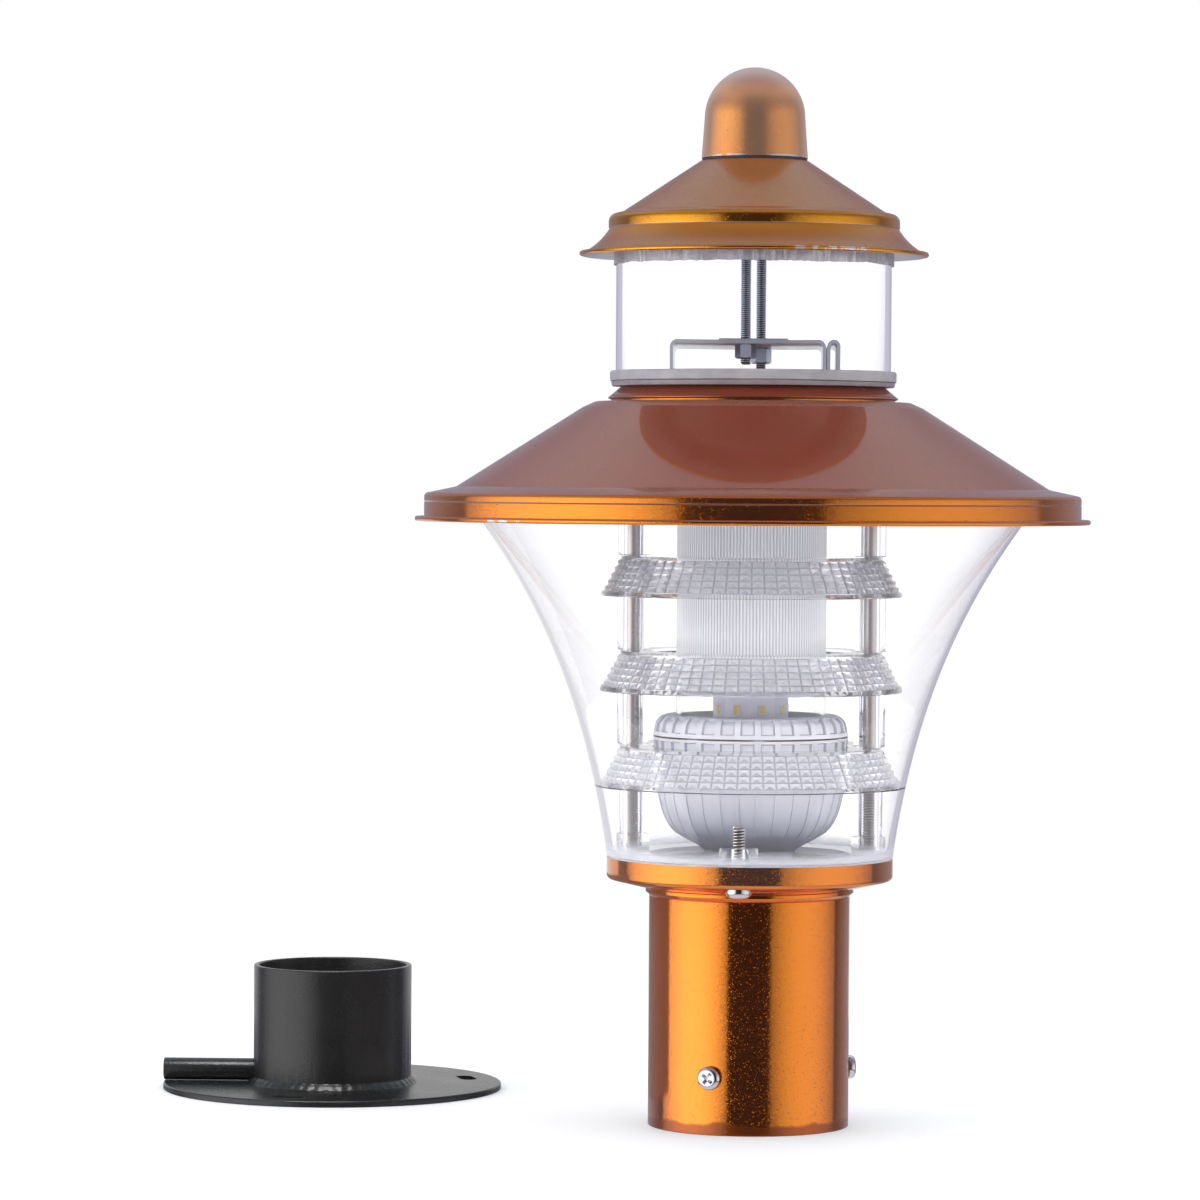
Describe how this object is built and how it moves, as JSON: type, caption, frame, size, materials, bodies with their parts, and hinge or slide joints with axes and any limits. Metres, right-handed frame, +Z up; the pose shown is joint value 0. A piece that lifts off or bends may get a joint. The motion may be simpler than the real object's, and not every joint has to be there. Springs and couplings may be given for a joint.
{
  "type": "pillar light",
  "caption": "Copper pillar light with a brimmed roof, clear flared bowl, louvre rings, LED bulb and top lantern on a pole tube, with a loose mounting base.",
  "frame": {"origin": "centre of the pole tube's foot", "axes": "+Z up along the pole tube, -Y to the front, +X to the right; the loose base stands left and behind"},
  "size_m": [0.3616, 0.3001, 0.4001],
  "materials": {
    "copper_paint": "glossy copper candy paint",
    "clear_plastic": "clear",
    "gasket": "translucent grey",
    "zinc_steel": "zinc plated",
    "chrome_screws": "plated",
    "holder_plastic": "moulded",
    "brass": "bare",
    "nickel_cap": "bare",
    "bulb_white": "satin white",
    "diffuser": "clear fluted",
    "core_metal": "satin",
    "led_yellow": "phosphor",
    "driver": "board",
    "black_paint": "textured black"
  },
  "bodies": {
    "pole": {"pole_tube": "copper_paint", "clamp_nuts": "zinc_steel", "pole_flange": "copper_paint", "bowl_seat_gasket": "gasket", "holder_strap": "zinc_steel", "strap_screws": "zinc_steel", "lamp_holder": "holder_plastic", "holder_ring": "holder_plastic", "holder_shell": "brass", "holder_contact": "brass"},
    "head": {"bowl": "clear_plastic", "bowl_rim_seal": "gasket", "louvre_ring_1": "clear_plastic", "louvre_ring_2": "clear_plastic", "louvre_ring_3": "clear_plastic", "spacer_1_left": "clear_plastic", "spacer_1_right": "clear_plastic", "spacer_2_left": "clear_plastic", "spacer_2_right": "clear_plastic", "spacer_3_left": "clear_plastic", "spacer_3_right": "clear_plastic", "spacer_4_left": "clear_plastic", "spacer_4_right": "clear_plastic", "tie_rod_left": "zinc_steel", "tie_rod_right": "zinc_steel", "rod_top_nuts": "zinc_steel", "rod_bottom_nuts": "zinc_steel", "main_roof": "copper_paint", "lower_gasket": "gasket", "upper_glass": "clear_plastic", "upper_gasket": "gasket", "bridge_bracket": "zinc_steel", "bracket_rivets": "zinc_steel", "cap_screw_nuts": "zinc_steel"},
    "cap": {"top_cap": "copper_paint", "cap_screws": "zinc_steel", "finial_washer": "gasket"},
    "finial": {"finial_dome": "copper_paint"},
    "bulb": {"bulb_cap": "nickel_cap", "bulb_tip": "brass", "bulb_housing": "bulb_white", "bulb_driver": "driver", "bulb_collar": "bulb_white", "bulb_diffuser": "diffuser", "led_core": "core_metal", "led_chips": "led_yellow"},
    "clamp_screw_1": {"clamp_screw_1": "chrome_screws"},
    "clamp_screw_2": {"clamp_screw_2": "chrome_screws"},
    "clamp_screw_3": {"clamp_screw_3": "chrome_screws"},
    "flange_screw_front": {"flange_screw_front": "chrome_screws"},
    "flange_screw_back": {"flange_screw_back": "chrome_screws"},
    "mounting_base": {"base_plate": "black_paint", "base_spigot": "black_paint", "base_cable_pipe": "black_paint"}
  },
  "joints": [
    {"name": "head_lift", "type": "slide", "parent": "pole", "child": "head", "axis": [0, 0, 1], "range_m": [0, 0.18]},
    {"name": "cap_lift", "type": "slide", "parent": "head", "child": "cap", "axis": [0, 0, 1], "range_m": [0, 0.085]},
    {"name": "finial_lift", "type": "slide", "parent": "cap", "child": "finial", "axis": [0, 0, 1], "range_m": [0, 0.04]},
    {"name": "bulb_turn", "type": "hinge", "parent": "pole", "child": "bulb", "pos_m": [0, 0, 0.1], "axis": [0, 0, 1], "range_deg": [0, 900]},
    {"name": "clamp_screw_1_out", "type": "slide", "parent": "pole", "child": "clamp_screw_1", "axis": [-0.3584, -0.9336, 0], "range_m": [0, 0.008]},
    {"name": "clamp_screw_2_out", "type": "slide", "parent": "pole", "child": "clamp_screw_2", "axis": [0.9877, 0.1564, 0], "range_m": [0, 0.008]},
    {"name": "clamp_screw_3_out", "type": "slide", "parent": "pole", "child": "clamp_screw_3", "axis": [-0.6293, 0.7771, 0], "range_m": [0, 0.008]},
    {"name": "flange_screw_front_out", "type": "slide", "parent": "pole", "child": "flange_screw_front", "axis": [0, 0, -1], "range_m": [0, 0.03]},
    {"name": "flange_screw_back_out", "type": "slide", "parent": "pole", "child": "flange_screw_back", "axis": [0, 0, -1], "range_m": [0, 0.03]},
    {"name": "base_lift", "type": "slide", "parent": "pole", "child": "mounting_base", "axis": [0, 0, 1], "range_m": [0, 0.1]}
  ]
}
